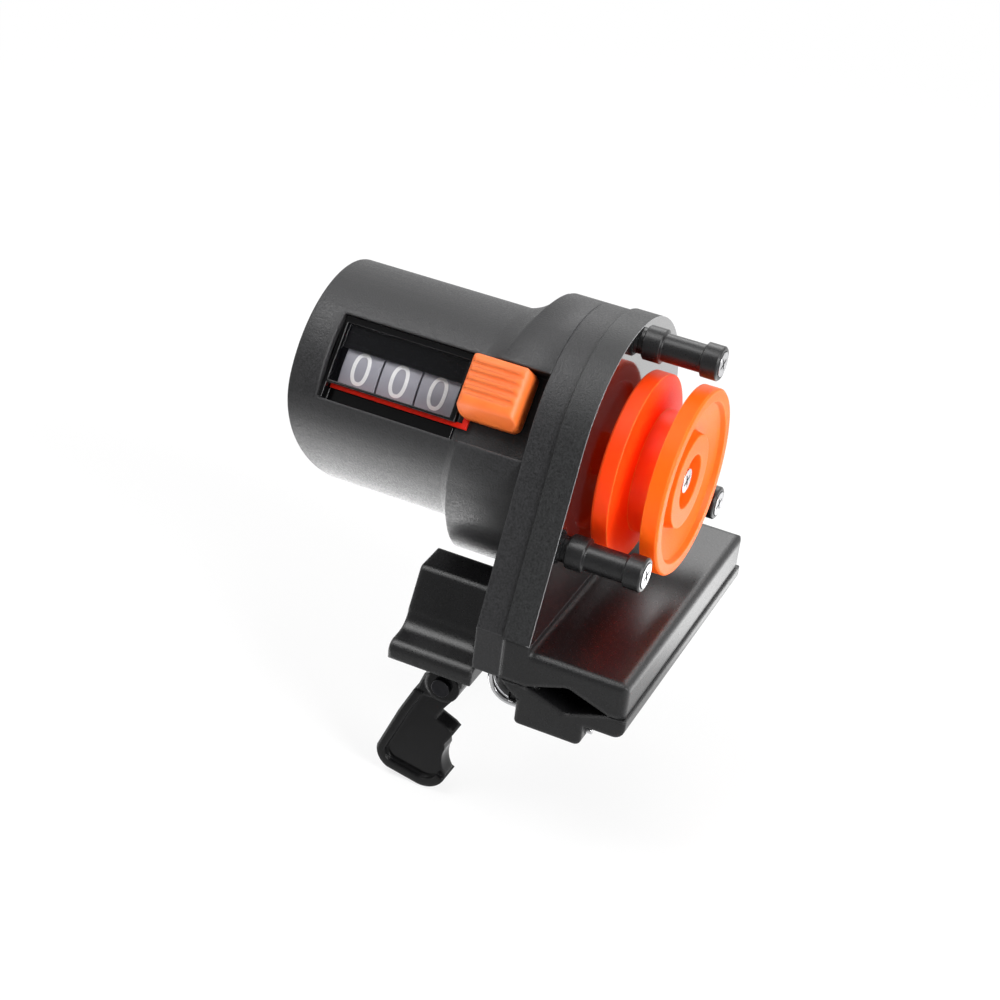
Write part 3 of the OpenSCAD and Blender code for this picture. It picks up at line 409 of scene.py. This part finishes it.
# Studio: pale floor, white surround, soft lamps and the photograph's camera, in metres and watts
studio = {
    "floor": cadBox[0][2] - 0.0004, "reach": 3.0, "cells": 8,
    "shadow": 0.22, "shadowSpan": (0.1, 0.5), "apron": 0.34, "apronSpan": (-0.06, -0.01),
    "fill": 0.6, "front": (0.2, -0.85, 0.48), "dim": 0.22, "dimSpan": (0.35, 0.85),
    "lamps": {  # place, width, power
        "key": ((-0.55, -0.2, 1.0), 0.7, 6.0),
        "right": ((0.8, -0.3, 0.5), 0.5, 10.0),
        "back": ((-0.1, 0.8, 0.7), 0.6, 3.0),
        "bounce": ((-0.105, 0.005, -0.034), 0.14, 0.16),
        "side": ((0.07, 0.07, -0.034), 0.1, 0.05),
    },
    "aim": {"bounce": (-0.1051, 0.0051, 0.5), "side": (0.0699, 0.0701, 0.5)},  # these two shine upwards
    "centre": (-0.03, 0, 0.02),
}
corners = studio["cells"] + 1
spread = np.linspace(-1, 1, corners)
u, v = np.meshgrid(spread, spread, indexing="ij")
floorPoints = np.stack([u * studio["reach"], v * studio["reach"], np.full(u.shape, studio["floor"])], -1)
cell = np.arange(corners ** 2).reshape(corners, corners)
floorFaces = np.stack([cell[:-1, :-1], cell[1:, :-1], cell[1:, 1:], cell[:-1, 1:]], -1).reshape(-1, 4)
floorMesh = bpy.data.meshes.new("studio_floor")
floorMesh.from_pydata(floorPoints.reshape(-1, 3).tolist(), [], floorFaces.tolist())
floorPiece = bpy.data.objects.new("studio_floor", floorMesh)
bpy.context.scene.collection.objects.link(floorPiece)


def pairOf(tree, operation, first, second):  # two values taken together
    return addNode(tree, "ShaderNodeMath", {"operation": operation}, {0: first, 1: second})


def raysOf(tree):  # the light path, and 1 for rays that come from the camera, a reflection or a clear piece
    ray = addNode(tree, "ShaderNodeLightPath")
    seen = pairOf(tree, "MAXIMUM", (ray, "Is Camera Ray"), (ray, "Is Glossy Ray"))
    return ray, pairOf(tree, "MAXIMUM", (seen, "Value"), (ray, "Is Transmission Ray"))


def softStep(tree, span, levels, source):  # from one level to the other over a span
    return addNode(tree, "ShaderNodeMapRange",
                   {"interpolation_type": "SMOOTHSTEP", "From Min": span[0], "From Max": span[1],
                    "To Min": levels[0], "To Max": levels[1]}, {"Value": source})


paper = bpy.data.materials.new("White paper sweep")  # seen white, with a faint shadow left on it
paper.use_nodes = True
tree = paper.node_tree
tree.nodes.clear()
ray, through = raysOf(tree)
spot = addNode(tree, "ShaderNodeTexCoord")
away = addNode(tree, "ShaderNodeVectorMath", {"operation": "LENGTH"}, {0: (spot, "Object")})
# the far floor is as white as the surround
plain = softStep(tree, studio["shadowSpan"], (1 - studio["shadow"], 1.0), (away, "Value"))
share = pairOf(tree, "MULTIPLY", (through, "Value"), (plain, "Result"))
spotAxes = addNode(tree, "ShaderNodeSeparateXYZ", None, {"Vector": (spot, "Object")})
# reflections see an unlit apron in front of the object
apron = softStep(tree, studio["apronSpan"], (studio["apron"], 1.0), (spotAxes, "Y"))
apronSeen = pairOf(tree, "MAXIMUM", (apron, "Result"), (ray, "Is Camera Ray"))
matt = addNode(tree, "ShaderNodeBsdfDiffuse", {"Color": hexLinear("#fafafa")})
white = addNode(tree, "ShaderNodeEmission", {"Color": (1, 1, 1, 1)}, {"Strength": (apronSeen, "Value")})
mixed = addNode(tree, "ShaderNodeMixShader", None,
                {0: (share, "Value"), 1: (matt, "BSDF"), 2: (white, "Emission")})
addNode(tree, "ShaderNodeOutputMaterial", None, {"Surface": (mixed, "Shader")})
floorMesh.materials.append(paper)

world = bpy.data.worlds.new("studio")
bpy.context.scene.world = world
world.use_nodes = True
tree = world.node_tree
tree.nodes.clear()
ray, through = raysOf(tree)
level = addNode(tree, "ShaderNodeMapRange", {"To Min": studio["fill"], "To Max": 1.0},
                {"Value": (through, "Value")})
way = addNode(tree, "ShaderNodeTexCoord")
ahead = addNode(tree, "ShaderNodeVectorMath", {"operation": "DOT_PRODUCT", 1: studio["front"]},
                {0: (way, "Generated")})
room = softStep(tree, studio["dimSpan"], (1.0, studio["dim"]), (ahead, "Value"))  # dim behind the camera
dimmed = pairOf(tree, "MULTIPLY", (level, "Result"), (room, "Result"))
strength = pairOf(tree, "MAXIMUM", (dimmed, "Value"), (ray, "Is Camera Ray"))
sky = addNode(tree, "ShaderNodeBackground", {"Color": (1, 1, 1, 1)}, {"Strength": (strength, "Value")})
addNode(tree, "ShaderNodeOutputWorld", None, {"Surface": (sky, "Background")})

for name, (place, size, power) in studio["lamps"].items():
    lamp = bpy.data.lights.new(name, "AREA")
    lamp.shape = "DISK"
    lamp.size = size
    lamp.energy = power
    lampObject = bpy.data.objects.new(name, lamp)
    back = np.array(place) - studio["aim"].get(name, studio["centre"])
    back = back / np.linalg.norm(back)
    side = np.cross((0, 1, 0), back)
    side = side / np.linalg.norm(side)
    turn = np.stack([side, np.cross(back, side), back], 1)
    lampObject.matrix_world = Matrix.Translation(place) @ Matrix(turn.tolist()).to_4x4()
    lampObject.visible_camera = False
    bpy.context.scene.collection.objects.link(lampObject)

view = {  # fitted to the photograph
    "eye": (0.11537, -0.37714, 0.26560), "lens": 80.375, "sensor": 36, "near": 0.01,
    "right": (0.90237355, 0.41920774, 0.09993424),
    "up": (-0.29767431, 0.43862617, 0.84793696),
    "back": (0.31162796, -0.79490374, 0.52059203),
}
camera = bpy.data.cameras.new("camera")
camera.lens = view["lens"]
camera.sensor_width = view["sensor"]
camera.clip_start = view["near"]
cameraObject = bpy.data.objects.new("camera", camera)
axes = Matrix([view["right"], view["up"], view["back"]]).transposed()
cameraObject.matrix_world = Matrix.Translation(view["eye"]) @ axes.to_4x4()
bpy.context.scene.collection.objects.link(cameraObject)
bpy.context.scene.camera = cameraObject
bpy.context.scene.view_settings.view_transform = "Standard"
print("studio ready")
